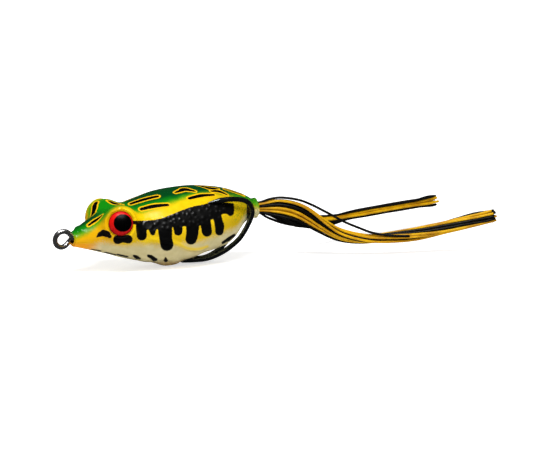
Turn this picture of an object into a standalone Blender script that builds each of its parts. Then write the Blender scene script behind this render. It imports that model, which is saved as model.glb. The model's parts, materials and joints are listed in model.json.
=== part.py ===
"""Hollow-bodied frog lure: soft hollow body, double hook bent from one wire, keel weight,
two domed eyes and two legs of rubber strands.

Metres, +Z up, +X towards the tail, +Y the frog's right side.
Dimensions are in millimetres from the centre of the line-tie eye ("station" coordinates).
world() turns them into metres from the centre of the small flat under the keel.
A side's sign is -1 for the left and 1 for the right.
"""

import math
from itertools import accumulate

import bmesh
import bpy
import numpy as np
from mathutils import Matrix, Vector

MM = 0.001
SIDES = {"left": -1, "right": 1}
UP = Vector((0.0, 0.0, 1.0))

KEEL_FLAT_X = 36.6
KEEL_FLAT_Z = -11.3

# ---- body ----
WALL = 1.3
NOSE_X = 3.7
TAIL_X = 68.4
TUBE_Z = 4.75             # height of the tail tube's axis

# x, top z, bottom z, half width, z of the widest point
BODY_STATIONS = np.array((
    (NOSE_X, 1.5, -2.4, 2.7, -0.4),
    (5.5, 3.2, -3.1, 3.6, -0.1),
    (8.0, 5.0, -3.8, 4.8, 0.3),
    (12.0, 7.2, -5.0, 6.6, 1.2),
    (16.0, 8.5, -6.1, 8.2, 1.8),
    (20.0, 9.6, -7.4, 9.6, 2.1),
    (25.0, 11.1, -8.7, 10.9, 2.2),
    (31.0, 12.8, -9.8, 11.9, 2.3),
    (38.0, 13.8, -10.4, 12.4, 2.4),
    (45.0, 14.0, -9.4, 12.1, 2.6),
    (50.0, 13.6, -8.0, 11.2, 2.9),
    (54.0, 13.0, -7.0, 10.1, 3.2),
    (57.2, 12.2, -6.05, 8.9, 3.5),
    (59.6, 11.5, -4.2, 7.8, 3.9),
    (61.6, 10.75, -1.5, 6.7, 4.2),
    (63.4, 10.0, 0.2, 5.5, 4.5),
    (65.5, 8.9, 1.3, 4.2, 4.7),
    (67.0, 8.0, 1.65, 3.25, TUBE_Z),
    (TAIL_X, 7.85, 1.65, 3.1, TUBE_Z),
))
# x of each ring of cage points
RING_X = (
    NOSE_X, 6.0, 8.8, 10.8, 12.6, 14.4, 16.4, 18.6, 21.2, 25.6, 30.2, 33.6, 35.4,
    37.8, 39.6, 42.0, 46.4, 51.2, 55.2, 58.2, 60.4, 62.4, 64.4, 66.4, TAIL_X,
)
# right half of a ring: degrees up from +Y, top to bottom
HALF_RING_ANGLES = (90, 73, 57, 42, 28, 14, -2, -24, -48, -66, -78, -90)

UPPER_POWER = 1.8         # superellipse powers above and below the widest point
LOWER_POWER = 2.05
BULGE_BLEND = 2.0
# the coarse cage stands out a little, because subdivision draws it in
BASE_SWELL = 0.25
BULGE_SWELL = 0.5

PAD_DEPTH = 2.0           # keel pad under the belly
PAD_RISE_X = (30.0, 35.8)
PAD_FALL_X = (37.6, 42.5)
PAD_FALL_Y = (2.6, 6.0)

NOSE_WALL_SHARE = 0.30    # share of WALL left at the nose hole
NOSE_WALL_END_X = 12.0
TUBE_WALL_LOSS = 0.54     # share of WALL lost along the tail tube
TUBE_WALL_X = (63.0, 66.5)
BODY_MID_Z = 0.3          # parts the upper from the lower faces round the middle
BODY_MID_REACH = 10.0     # how far the middle runs to each side of the keel flat

SLOT_CENTRE = (44.25, 0.0, -9.5)
SLOT_SIZE = (10.5, 4.6, 9.0)
SLOT_ROUNDING = 1.6
FLAT_CUT_SIZE = (18.0, 16.0, 4.0)

# ---- eyes ----
EYE_R = 4.0
EYE_RIM = 0.45            # height of the rim above the flat back
EYE_DOME = 1.25           # height of the dome above the rim
EYE_CHAMFER = 0.15
EYE_DOME_STEPS = 4
EYE_LIFT = 0.3            # from the seat to the eye's back
EYE_CENTRE = (16.2, 9.55, 5.5)      # centre of the right seat
EYE_DIRECTION = (-0.38, 0.88, 0.28)
EYE_NORMAL = tuple(c / math.hypot(*EYE_DIRECTION) for c in EYE_DIRECTION)
EYE_SEAT_R = 4.8
SEAT_REACH = 9.0          # the seat plane trims the body only this near the eye
BULGE_R = 6.2
BULGE_DEPTH = math.sqrt(BULGE_R**2 - EYE_SEAT_R**2)
BULGE_CENTRE = tuple(c - BULGE_DEPTH * n for c, n in zip(EYE_CENTRE, EYE_NORMAL))

# ---- double hook ----
WIRE_R = 0.83
LOOP_R = 2.6
LOOP_X = 0.35             # centre of the wire loop
LOOP_MEET = 3.5           # from the loop's centre to where its two end tangents meet
LOOP_STEPS = 14
SHANK_Y = 0.86
HOOK_TILT = 0.40          # sideways run of each hook per mm of height
TILT_START_Z = -10.7
HOOK_STEPS = 3            # curve points per span of HOOK_PROFILE
POINT_TAPER = 4.2         # length of the taper to each point
POINT_SHARE = 0.10        # share of the wire's radius left at the point
POINT_POWER = 0.8

# x, z from the nose towards the tail; the front parts differ where the wire joins the loop
SHANK_FRONT = {
    "left": ((3.4, 0.35), (4.1, -0.05), (5.0, -0.45), (8.0, -1.35), (14.0, -2.6)),
    "right": ((3.4, -0.35), (4.1, -0.3), (5.0, -0.58), (8.0, -1.42), (14.0, -2.65)),
}
SHANK_REAR = ((24.0, -4.6), (34.0, -6.4), (36.4, -7.05), (38.4, -8.05), (40.4, -9.4))
# x, z from the belly exit round the bend to the point
HOOK_PROFILE = (
    (42.2, -10.15), (46.5, -10.4), (51.0, -10.25), (54.9, -9.0), (58.4, -6.9),
    (61.4, -3.9), (63.3, 0.3), (64.15, 4.2), (63.2, 7.2), (60.6, 9.3),
    (56.6, 10.15), (52.6, 10.2), (47.3, 9.65),
)

BARB_LENGTH = 2.0
BARB_ROOT_R = 0.42
BARB_TIP_R = 0.06
BARB_ALONG = 1.6          # offset of the barb's centre, back along the wire
BARB_INWARD = 0.42        # and towards the inner side
BARB_LEAN = (0.90, 0.44)  # lean back along the wire, and inwards

# ---- keel weight: length along the shanks, width, height ----
WEIGHT_SIZE = (8.4, 5.8, 3.7)
CHANNEL_SIZE = (20.0, 3.9, 2.2)
WEIGHT_SETBACK = 2.6      # noseward along the shanks, from the second point of SHANK_REAR
WEIGHT_ROUNDING = 1.0

# ---- skirt collar: radius, height along its axis ----
COLLAR_PROFILE = (
    (0.0, 1.3), (1.3, 1.3), (1.75, 0.85), (2.08, 0.3),
    (2.08, -0.3), (1.75, -0.85), (1.3, -1.3), (0.0, -1.3),
)

# ---- legs ----
STRAND_R = 0.36
STRAND_ROOT_R = 0.27
LOOSE_STRAND_R = 0.9 * STRAND_R
ROOT_LENGTH = 14.0        # over which the strands spread and thicken from the collar
# spacing between columns, and between the strands of a column
ROOT_STEPS = (0.50, 0.62)
BUNDLE_STEPS = (0.70, 0.83)
LEG_SEGMENTS = 12
LEG_CURVE_STEPS = 6
LOOSE_CURVE_STEPS = 2
TWIST_START = 6.0
FLARE = 0.10              # widening of the bundle towards its end
FLARE_START = 0.7         # share of the leg's length
TRIM = 0.018              # greatest shortening of a strand, as a share of the leg's length

# path and loose: x, sideways distance, z
# twist: degrees, complete at twist_end of the leg's length
# columns: colours from the innermost column out, lowest strand first: G gold, B black
LEGS = {
    "left": {
        "path": (
            (70.4, 1.16, 4.68), (76.0, 2.9, 4.6), (82.0, 4.95, 2.9), (88.4, 6.9, -1.2),
            (94.0, 8.6, -4.4), (100.0, 10.5, -5.9), (107.0, 12.7, -6.2),
            (119.5, 16.5, -4.7), (131.9, 20.4, -2.1), (143.4, 24.0, 0.5),
        ),
        "twist": 190.0,
        "twist_end": 1.0,
        "columns": ("GBBG", "GBGBG", "BGBB", "BGGBG"),
        "loose": (
            (70.9, 1.4, 7.1), (76.2, 3.1, 8.0), (81.3, 4.7, 7.2), (85.5, 6.0, 5.5),
            (91.0, 7.7, 2.4), (95.5, 9.1, -0.5), (100.2, 10.6, -2.7), (105.0, 12.1, -3.3),
        ),
    },
    "right": {
        "path": (
            (70.4, 1.16, 4.68), (76.0, 2.7, 3.6), (82.0, 4.8, 0.6), (87.5, 6.6, -1.9),
            (94.0, 8.6, -3.5), (101.0, 10.8, -3.8), (108.4, 13.1, -3.3),
            (118.4, 16.2, -3.15), (131.0, 20.1, -3.2), (144.2, 24.2, -3.1),
        ),
        "twist": 80.0,
        "twist_end": 0.6,
        "columns": ("BBBB", "BBBGG", "GGGG", "BBBBB"),
        "loose": (
            (70.9, 1.5, 1.9), (75.4, 2.8, -0.6), (80.0, 4.3, -2.6),
            (85.0, 5.9, -4.6), (91.5, 7.9, -6.0),
        ),
    },
}


# ---- scene and materials ----
for old in list(bpy.data.objects):
    bpy.data.objects.remove(old, do_unlink=True)

parts = bpy.data.collections.new("frog_lure")
cutters = bpy.data.collections.new("cutters")
for collection in (parts, cutters):
    bpy.context.scene.collection.children.link(collection)


def material(name, colour, roughness, metallic=0.0):
    mat = bpy.data.materials.new(name)
    mat.use_nodes = True
    inputs = mat.node_tree.nodes["Principled BSDF"].inputs
    inputs["Base Color"].default_value = (*colour, 1.0)
    inputs["Roughness"].default_value = roughness
    inputs["Metallic"].default_value = metallic
    return mat


MAT_BODY = material("painted_soft_body", colour=(0.05, 0.33, 0.05), roughness=0.25)
MAT_HOOK = material(
    "black_nickel_wire", colour=(0.03, 0.035, 0.04), roughness=0.2, metallic=1.0)
MAT_LEAD = material("cast_weight", colour=(0.22, 0.22, 0.23), roughness=0.55, metallic=0.9)
MAT_EYE = material("domed_eye", colour=(0.6, 0.01, 0.01), roughness=0.08)
MAT_COLLAR = material("rubber_collar", colour=(0.02, 0.02, 0.02), roughness=0.6)
MAT_GOLD = material("gold_rubber", colour=(0.72, 0.38, 0.0), roughness=0.35)
MAT_BLACK = material("black_rubber", colour=(0.01, 0.01, 0.01), roughness=0.35)


# ---- curves and easing ----
def world(x, y, z):
    return Vector(((x - KEEL_FLAT_X) * MM, y * MM, (z - KEEL_FLAT_Z) * MM))


def smooth_step(start, end, x):
    t = min(max((x - start) / (end - start), 0.0), 1.0)
    return t * t * (3 - 2 * t)


def smooth_min(a, b, blend):
    overlap = max(blend - abs(a - b), 0.0) / blend
    return min(a, b) - overlap * overlap * blend * 0.25


def catmull(points, per_span):
    """Points along a Catmull-Rom curve through the given 3-D points."""
    points = [Vector(p) for p in points]
    first = points[0] * 2 - points[1]
    last = points[-1] * 2 - points[-2]
    padded = [first] + points + [last]
    curve = []
    for p0, p1, p2, p3 in zip(padded, padded[1:], padded[2:], padded[3:]):
        for k in range(per_span):
            t = k / per_span
            curve.append(0.5 * (
                2 * p1
                + (p2 - p0) * t
                + (2 * p0 - 5 * p1 + 4 * p2 - p3) * t * t
                + (3 * p1 - p0 - 3 * p2 + p3) * t**3
            ))
    return curve + [points[-1]]


def run_lengths(points):
    """Distance along a polyline at each of its points."""
    spans = ((b - a).length for a, b in zip(points, points[1:]))
    return list(accumulate(spans, initial=0.0))


def resample(points, count):
    """Ends of count equal steps along a polyline."""
    run = run_lengths(points)
    targets = np.linspace(0.0, run[-1], count + 1)
    axes = [np.interp(targets, run, axis) for axis in zip(*points)]
    return [Vector(p) for p in zip(*axes)]


# ---- objects ----
def add(name, mesh, mat):
    obj = bpy.data.objects.new(name, mesh)
    parts.objects.link(obj)
    mesh.materials.append(mat)
    return obj


def mesh_from(name, bm):
    mesh = bpy.data.meshes.new(name)
    bm.to_mesh(mesh)
    bm.free()
    return mesh


def add_helper(name, bm):
    """A boolean operand, kept out of renders."""
    obj = bpy.data.objects.new(name, mesh_from(name, bm))
    cutters.objects.link(obj)
    obj.hide_render = True
    obj.display_type = "WIRE"
    return obj


def boolean(obj, name, helper, operation):
    mod = obj.modifiers.new(name, "BOOLEAN")
    mod.operation = operation
    mod.object = helper
    mod.solver = "EXACT"


def cut(obj, cutter):
    boolean(obj, "cut_" + cutter.name, cutter, "DIFFERENCE")


def box(centre, size, rotation=None):
    bm = bmesh.new()
    placing = Matrix.LocRotScale(world(*centre), rotation, Vector(size) * MM)
    bmesh.ops.create_cube(bm, size=1.0, matrix=placing)
    return bm


def add_turned(name, mat, profile, steps):
    """A piece turned about its own Z from (radius, height) points."""
    bm = bmesh.new()
    verts = [bm.verts.new((radius * MM, 0.0, height * MM)) for radius, height in profile]
    for a, b in zip(verts, verts[1:]):
        bm.edges.new((a, b))
    obj = add(name, mesh_from(name, bm), mat)
    screw = obj.modifiers.new("turned", "SCREW")
    screw.axis = "Z"
    screw.steps = steps
    screw.render_steps = steps
    screw.use_merge_vertices = True
    screw.merge_threshold = 0.00001
    screw.use_normal_calculate = True
    return obj


def add_tube(name, mat, points, radii, bevel_resolution, sharp_angle):
    """A closed round tube along the points, as a welded mesh."""
    curve = bpy.data.curves.new("tmp_" + name, "CURVE")
    curve.dimensions = "3D"
    curve.bevel_depth = MM  # each point's radius is then in millimetres
    curve.bevel_resolution = bevel_resolution
    curve.use_fill_caps = True
    spline = curve.splines.new("POLY")
    spline.points.add(len(points) - 1)
    for spline_point, point, radius in zip(spline.points, points, radii):
        spline_point.co = (*world(*point), 1.0)
        spline_point.radius = radius
    source = bpy.data.objects.new("tmp_" + name, curve)
    parts.objects.link(source)
    bpy.context.view_layer.update()
    depsgraph = bpy.context.evaluated_depsgraph_get()
    mesh = bpy.data.meshes.new_from_object(source.evaluated_get(depsgraph))
    bpy.data.objects.remove(source, do_unlink=True)
    bpy.data.curves.remove(curve)
    mesh.name = name
    mesh.materials.clear()
    bm = bmesh.new()
    bm.from_mesh(mesh)
    bmesh.ops.remove_doubles(bm, verts=bm.verts, dist=1e-6)
    bmesh.ops.recalc_face_normals(bm, faces=bm.faces)
    bm.to_mesh(mesh)
    bm.free()
    obj = add(name, mesh, mat)
    mesh.shade_smooth()
    mesh.set_sharp_from_angle(angle=math.radians(sharp_angle))
    return obj


# ---- body form: an oval section at each station, joined smoothly to two eye bulges ----
STATION_X = BODY_STATIONS[:, 0]
STATION_VALUES = BODY_STATIONS[:, 1:]
STATION_SLOPES = np.gradient(STATION_VALUES, STATION_X, axis=0)


def section(x):
    """Top, bottom, half width and widest height at x, by Hermite interpolation."""
    i = int(np.clip(np.searchsorted(STATION_X, x) - 1, 0, len(STATION_X) - 2))
    span = STATION_X[i + 1] - STATION_X[i]
    t = (x - STATION_X[i]) / span
    values = (
        (2 * t**3 - 3 * t**2 + 1) * STATION_VALUES[i]
        + (t**3 - 2 * t**2 + t) * span * STATION_SLOPES[i]
        + (-2 * t**3 + 3 * t**2) * STATION_VALUES[i + 1]
        + (t**3 - t**2) * span * STATION_SLOPES[i + 1]
    )
    return values.tolist()


def body_field(x, y, z, top, bottom, half_width, widest_z):
    """Negative inside the body, roughly in mm."""
    pad = smooth_step(*PAD_RISE_X, x) * (1 - smooth_step(*PAD_FALL_X, x))
    pad *= 1 - smooth_step(*PAD_FALL_Y, abs(y))
    bottom -= PAD_DEPTH * pad
    if z >= widest_z:
        height, power = top - widest_z, UPPER_POWER
    else:
        height, power = widest_z - bottom, LOWER_POWER
    oval = (abs(y / half_width) ** power + abs((z - widest_z) / height) ** power) ** (1 / power)
    base = (oval - 1.0) * min(half_width, height) - BASE_SWELL
    point = (x, abs(y), z)
    bulge = math.dist(point, BULGE_CENTRE) - BULGE_R - BULGE_SWELL
    field = smooth_min(base, bulge, BULGE_BLEND)
    # the flat seat of each eye
    if math.dist(point, EYE_CENTRE) < SEAT_REACH:
        seat = sum((p - c) * n for p, c, n in zip(point, EYE_CENTRE, EYE_NORMAL))
        field = max(field, seat)
    return field


def body_point(x, angle):
    """The surface point at a station, along a ray from the section's centre, by bisection."""
    form = section(x)
    centre_z = (form[0] + form[1]) / 2
    ray_y, ray_z = math.cos(angle), math.sin(angle)
    low, high = 0.0, 24.0
    for _ in range(40):
        reach = (low + high) / 2
        if body_field(x, reach * ray_y, centre_z + reach * ray_z, *form) < 0:
            low = reach
        else:
            high = reach
    return x, reach * ray_y, centre_z + reach * ray_z


def wall_share(x):
    """Share of the full wall: thinner at the nose hole and along the tail tube."""
    nose = NOSE_WALL_SHARE + (1 - NOSE_WALL_SHARE) * smooth_step(NOSE_X, NOSE_WALL_END_X, x)
    return min(nose, 1.0 - TUBE_WALL_LOSS * smooth_step(*TUBE_WALL_X, x))


def face_outwards(bm):
    """Make the normals agree, then turn them out: on an open tube they may all face in."""
    bmesh.ops.recalc_face_normals(bm, faces=bm.faces)
    mid_z = world(0.0, 0.0, BODY_MID_Z).z
    outward = 0.0
    for face in bm.faces:
        centre = face.calc_center_median()
        if abs(centre.x) < BODY_MID_REACH * MM:
            outward += face.normal.z if centre.z > mid_z else -face.normal.z
    if outward < 0:
        bmesh.ops.reverse_faces(bm, faces=bm.faces)


def build_body():
    bm = bmesh.new()
    group = bm.verts.layers.deform.verify()
    left_half = tuple(180 - a for a in HALF_RING_ANGLES[:0:-1])
    rings = []
    for x in RING_X:
        ring = []
        for degrees in HALF_RING_ANGLES[:-1] + left_half:
            vert = bm.verts.new(world(*body_point(x, math.radians(degrees))))
            vert[group][0] = wall_share(x)
            ring.append(vert)
        rings.append(ring)
    for a, b in zip(rings, rings[1:]):
        for k in range(len(a)):
            j = (k + 1) % len(a)
            bm.faces.new((a[k], a[j], b[j], b[k]))
    face_outwards(bm)
    obj = add("body_shell", mesh_from("body_shell", bm), MAT_BODY)
    obj.data.shade_smooth()
    obj.vertex_groups.new(name="wall_share")
    form = obj.modifiers.new("soft_form", "SUBSURF")
    form.levels = 1
    form.render_levels = 1
    form.boundary_smooth = "ALL"
    wall = obj.modifiers.new("wall", "SOLIDIFY")
    wall.thickness = WALL * MM
    wall.offset = -1
    wall.vertex_group = "wall_share"
    wall.use_even_offset = False

    # the slot behind the keel pad where the two shanks leave the body
    slot = add_helper("belly_slot_cutter", box(SLOT_CENTRE, SLOT_SIZE))
    rounding = slot.modifiers.new("round_ends", "BEVEL")
    rounding.width = SLOT_ROUNDING * MM
    rounding.segments = 2
    rounding.limit_method = "ANGLE"
    cut(obj, slot)

    # the flat under the keel pad
    flat_centre = (KEEL_FLAT_X, 0.0, KEEL_FLAT_Z - FLAT_CUT_SIZE[2] / 2)
    cut(obj, add_helper("keel_flat_cutter", box(flat_centre, FLAT_CUT_SIZE)))


# ---- double hook: one wire, from one point round the line-tie loop to the other ----
def hook_side(side):
    """One side of the wire, from the loop along the shank and round the bend to the point."""
    sign = SIDES[side]
    shank = [Vector((x, sign * SHANK_Y, z)) for x, z in SHANK_FRONT[side] + SHANK_REAR]
    bend = []
    for x, z in HOOK_PROFILE:
        bend.append((x, sign * (SHANK_Y + HOOK_TILT * (z - TILT_START_Z)), z))
    return shank + catmull(bend, HOOK_STEPS)


def loop_points():
    """The line-tie loop: one open turn from the left shank to the right."""
    start = math.acos(LOOP_R / LOOP_MEET)
    turn = 2 * math.pi - 2 * start
    points = []
    for k in range(LOOP_STEPS + 1):
        angle = start + turn * k / LOOP_STEPS
        y = -SHANK_Y + 2 * SHANK_Y * k / LOOP_STEPS
        points.append(Vector((LOOP_X + LOOP_R * math.cos(angle), y, LOOP_R * math.sin(angle))))
    return points


def add_barb(hook, side, wire):
    """A small cone on the inner side of the point, leaning back along the wire."""
    before, near_tip = wire[-3], wire[-2]
    back = (before - near_tip).normalized()
    inward = Vector((0.0, -SIDES[side] * 0.42, -0.9))
    inward = (inward - back * inward.dot(back)).normalized()
    lean = (back * BARB_LEAN[0] + inward * BARB_LEAN[1]).normalized()
    centre = near_tip + back * BARB_ALONG + inward * BARB_INWARD
    bm = bmesh.new()
    bmesh.ops.create_cone(
        bm,
        cap_ends=True,
        segments=6,
        radius1=BARB_ROOT_R * MM,
        radius2=BARB_TIP_R * MM,
        depth=BARB_LENGTH * MM,
        matrix=Matrix.LocRotScale(world(*centre), lean.to_track_quat("Z", "Y"), None),
    )
    name = "barb_" + side
    boolean(hook, name, add_helper(name, bm), "UNION")


def build_hook():
    wires = {side: hook_side(side) for side in SIDES}
    path = wires["left"][::-1] + loop_points() + wires["right"]
    run = run_lengths(path)
    radii = []
    for distance in run:
        from_tip = min(distance, run[-1] - distance)
        taper = min(from_tip / POINT_TAPER, 1.0) ** POINT_POWER
        radii.append(WIRE_R * (POINT_SHARE + (1 - POINT_SHARE) * taper))
    hook = add_tube("double_hook", MAT_HOOK, path, radii, bevel_resolution=2, sharp_angle=40)
    for side, wire in wires.items():
        add_barb(hook, side, wire)


# ---- keel weight: a cast slug round both shanks, inside the keel pad ----
def build_weight():
    (front_x, front_z), (rear_x, rear_z) = SHANK_REAR[:2]
    front = Vector((front_x, 0.0, front_z))
    rear = Vector((rear_x, 0.0, rear_z))
    along = (rear - front).normalized()
    centre = rear - along * WEIGHT_SETBACK
    tilt = Matrix((
        (along.x, 0.0, -along.z),
        (0.0, 1.0, 0.0),
        (along.z, 0.0, along.x),
    ))
    slug = box(centre, WEIGHT_SIZE, tilt)
    obj = add("keel_weight", mesh_from("keel_weight", slug), MAT_LEAD)
    rounding = obj.modifiers.new("cast_edges", "BEVEL")
    rounding.width = WEIGHT_ROUNDING * MM
    rounding.segments = 3
    # the channel that the shanks lie in
    cut(obj, add_helper("weight_channel", box(centre, CHANNEL_SIZE, tilt)))


# ---- eyes: plano-convex discs on the flat seats of the bulges ----
def build_eye(side):
    sphere_r = (EYE_R**2 + EYE_DOME**2) / (2 * EYE_DOME)
    rim_angle = math.asin(EYE_R / sphere_r)
    top = EYE_RIM + EYE_DOME
    # from the top of the dome down its outer side to the flat back
    profile = [(0.0, top)]
    for k in range(1, EYE_DOME_STEPS):
        angle = rim_angle * k / EYE_DOME_STEPS
        profile.append((sphere_r * math.sin(angle), top - sphere_r * (1 - math.cos(angle))))
    profile += [(EYE_R, EYE_RIM), (EYE_R, EYE_CHAMFER), (EYE_R - EYE_CHAMFER, 0.0), (0.0, 0.0)]
    obj = add_turned("eye_" + side, MAT_EYE, profile, steps=18)
    mirror = Vector((1.0, SIDES[side], 1.0))
    normal = Vector(EYE_NORMAL) * mirror
    centre = Vector(EYE_CENTRE) * mirror + normal * EYE_LIFT
    obj.matrix_world = Matrix.LocRotScale(world(*centre), normal.to_track_quat("Z", "Y"), None)


# ---- skirt collar: the rubber bobbin at the mouth of the tail tube ----
def build_collar():
    obj = add_turned("skirt_collar", MAT_COLLAR, COLLAR_PROFILE, steps=16)
    place = Matrix.Translation(world(TAIL_X, 0.0, TUBE_Z))
    obj.matrix_world = place @ Matrix.Rotation(math.pi / 2, 4, "Y")


# ---- legs: rubber strands in a loose, slowly turning bundle, and one loose strand each ----
def add_strand(name, mat, points, radii):
    add_tube(name, mat, points, radii, bevel_resolution=1, sharp_angle=50)


def leg_frames(centre, sign):
    """Tangent, outward and upward directions at each point of a leg's centre line."""
    frames = []
    for before, after in zip(centre[:1] + centre[:-1], centre[1:] + centre[-1:]):
        tangent = (after - before).normalized()
        outward = UP.cross(tangent).normalized() * sign
        rise = (UP - tangent * UP.dot(tangent)).normalized()
        frames.append((tangent, outward, rise))
    return frames


def build_leg(side):
    sign = SIDES[side]
    leg = LEGS[side]
    path = [(x, sign * y, z) for x, y, z in leg["path"]]
    centre = resample(catmull(path, LEG_CURVE_STEPS), LEG_SEGMENTS)
    frames = leg_frames(centre, sign)
    run = run_lengths(centre)
    total = run[-1]
    spread = [smooth_step(0.0, ROOT_LENGTH, distance) for distance in run]
    radii = [STRAND_ROOT_R + (STRAND_R - STRAND_ROOT_R) * blend for blend in spread]

    # column and row of each strand, counted from the bundle's centre, and its colour
    strands = []
    for column, colours in enumerate(leg["columns"]):
        for row, colour in enumerate(colours):
            column_place = column - (len(leg["columns"]) - 1) / 2
            row_place = row - (len(colours) - 1) / 2
            strands.append((column_place, row_place, colour))

    for number, (column, row, colour) in enumerate(strands, start=1):
        points = []
        for middle, (tangent, outward, rise), distance, blend in zip(
                centre, frames, run, spread):
            across = column * (ROOT_STEPS[0] * (1 - blend) + BUNDLE_STEPS[0] * blend)
            up = row * (ROOT_STEPS[1] * (1 - blend) + BUNDLE_STEPS[1] * blend)
            turned = smooth_step(TWIST_START, total * leg["twist_end"], distance)
            angle = math.radians(leg["twist"]) * turned * sign
            flare = 1.0 + FLARE * smooth_step(FLARE_START, 1.0, distance / total)
            cos, sin = math.cos(angle), math.sin(angle)
            points.append(
                middle
                + outward * ((across * cos - up * sin) * flare)
                + rise * ((across * sin + up * cos) * flare)
            )
        # the strands end at slightly different lengths
        points[-1] -= frames[-1][0] * (TRIM * ((number * 5) % 7) / 6 * total)
        mat = MAT_GOLD if colour == "G" else MAT_BLACK
        add_strand(f"leg_{side}_strand_{number:02d}", mat, points, radii)

    # the loose strand is bowed clear of the bundle
    loose = catmull([(x, sign * y, z) for x, y, z in leg["loose"]], LOOSE_CURVE_STEPS)
    add_strand(f"leg_{side}_loose_strand", MAT_BLACK, loose, [LOOSE_STRAND_R] * len(loose))


build_body()
build_hook()
build_weight()
build_collar()
for side_name in SIDES:
    build_eye(side_name)
    build_leg(side_name)
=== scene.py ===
"""A hollow soft-bodied frog lure with domed eyes, a double hook, a keel weight and a rubber skirt.

The nose points along -X, the tail along +X and the back is up (+Z); the frog's left is -Y.
Sizes are millimetres measured from the centre of the line-tie loop ("stations"), and are
turned into metres by world() and world_array(). Material distances are in metres.
"""
import json
import math

import bmesh
import bpy
import numpy as np
from mathutils import Matrix, Vector

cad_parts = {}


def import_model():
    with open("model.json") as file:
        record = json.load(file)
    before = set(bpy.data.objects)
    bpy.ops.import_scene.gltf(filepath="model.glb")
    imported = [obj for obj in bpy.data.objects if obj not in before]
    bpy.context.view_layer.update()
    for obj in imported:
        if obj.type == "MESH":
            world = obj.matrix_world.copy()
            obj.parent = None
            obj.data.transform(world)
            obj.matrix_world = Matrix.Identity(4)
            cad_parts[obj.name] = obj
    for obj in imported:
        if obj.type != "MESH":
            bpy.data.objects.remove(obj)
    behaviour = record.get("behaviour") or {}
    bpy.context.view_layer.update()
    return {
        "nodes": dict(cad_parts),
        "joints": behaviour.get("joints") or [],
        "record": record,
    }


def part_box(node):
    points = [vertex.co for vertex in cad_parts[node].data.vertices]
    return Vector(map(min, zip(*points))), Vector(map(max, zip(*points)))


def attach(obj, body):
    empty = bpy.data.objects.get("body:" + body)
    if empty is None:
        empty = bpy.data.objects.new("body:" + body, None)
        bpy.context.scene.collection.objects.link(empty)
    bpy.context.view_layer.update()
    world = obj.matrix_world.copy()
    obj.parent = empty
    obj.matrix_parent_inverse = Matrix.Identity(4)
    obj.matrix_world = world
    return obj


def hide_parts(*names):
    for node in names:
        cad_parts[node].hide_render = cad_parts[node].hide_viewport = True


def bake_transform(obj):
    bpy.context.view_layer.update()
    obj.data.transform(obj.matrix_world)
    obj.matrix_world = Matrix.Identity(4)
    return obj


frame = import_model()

MILLI = 0.001
HALF_TURN = math.pi / 2


def find_joint(key, value):
    return [joint for joint in frame["joints"] if joint[key] == value][0]


# ---- where things are ----
# the hook's pivot is 3.7 mm behind and 0.2 mm below the line-tie centre
ORIGIN = Vector(find_joint("name", "hook_swing")["pos_m"]) - Vector((3.7, 0.0, -0.2)) * MILLI
shell_low, shell_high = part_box("body_shell")
TAIL_X = (shell_high.x - ORIGIN.x) / MILLI
FLAT_Z = (frame["record"]["mounts"][0]["pos_m"][2] - ORIGIN.z) / MILLI
TUBE_Z = (find_joint("name", "skirt_lift")["pos_m"][2] - ORIGIN.z) / MILLI


def world(x, y, z):
    return Vector((x * MILLI, y * MILLI, z * MILLI)) + ORIGIN


def world_array(points):
    return points * MILLI + np.array(ORIGIN)


# ---- curves and profiles ----
def smoothstep(start, end, x):
    """0 at start and 1 at end; start may be the larger."""
    t = np.clip((x - start) / (end - start), 0.0, 1.0)
    return t * t * (3 - 2 * t)


def hill(distance, width):
    """A smooth hill, 1 in the middle and 0 from width on."""
    t = np.clip(1.0 - (distance / width) ** 2, 0.0, 1.0)
    return t * t * t


def ridge(distance, width):
    """A bell curve, 1 at distance 0."""
    return np.exp(-((distance / width) ** 2))


def smooth_min(first, second, blend):
    share = np.clip(blend - np.abs(first - second), 0.0, None) / blend
    return np.minimum(first, second) - share * share * blend * 0.25


def hermite(x, table, column=1):
    """A smooth curve through one column of a table whose first column is the station."""
    table = np.asarray(table, float)
    stations, values = table[:, 0], table[:, column]
    slopes = np.gradient(values, stations)
    i = np.clip(np.searchsorted(stations, x) - 1, 0, len(stations) - 2)
    span = stations[i + 1] - stations[i]
    t = np.clip((x - stations[i]) / span, 0.0, 1.0)
    return (
        (2 * t**3 - 3 * t**2 + 1) * values[i]
        + (t**3 - 2 * t**2 + t) * span * slopes[i]
        + (-2 * t**3 + 3 * t**2) * values[i + 1]
        + (t**3 - t**2) * span * slopes[i + 1]
    )


def line_height(line, x):
    """Height of a line of (x, height) points."""
    line = np.array(line)
    return np.interp(x, line[:, 0], line[:, 1])


def smooth_curve(points, per_span):
    """Catmull-Rom through points of any dimension."""
    inner = [np.array(point, float) for point in points]
    knots = [inner[0] * 2 - inner[1]] + inner + [inner[-1] * 2 - inner[-2]]
    curve = []
    for i in range(1, len(knots) - 2):
        before, start, end, after = knots[i - 1 : i + 3]
        for k in range(per_span):
            t = k / per_span
            curve.append(0.5 * (
                2 * start
                + (end - before) * t
                + (2 * before - 5 * start + 4 * end - after) * t * t
                + (3 * start - before - 3 * end + after) * t**3
            ))
    curve.append(inner[-1])
    return curve


def arc_lengths(points):
    run = [0.0]
    for start, end in zip(points, points[1:]):
        run.append(run[-1] + float(np.linalg.norm(end - start)))
    return run


def segment_gap(start, end, coords):
    """Share along the segment and distance from it, for each coordinate."""
    span = end - start
    t = np.clip(((coords - start) @ span) / max(float(span @ span), 1e-9), 0.0, 1.0)
    return t, np.linalg.norm(coords - (start + t[:, None] * span), axis=1)


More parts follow.
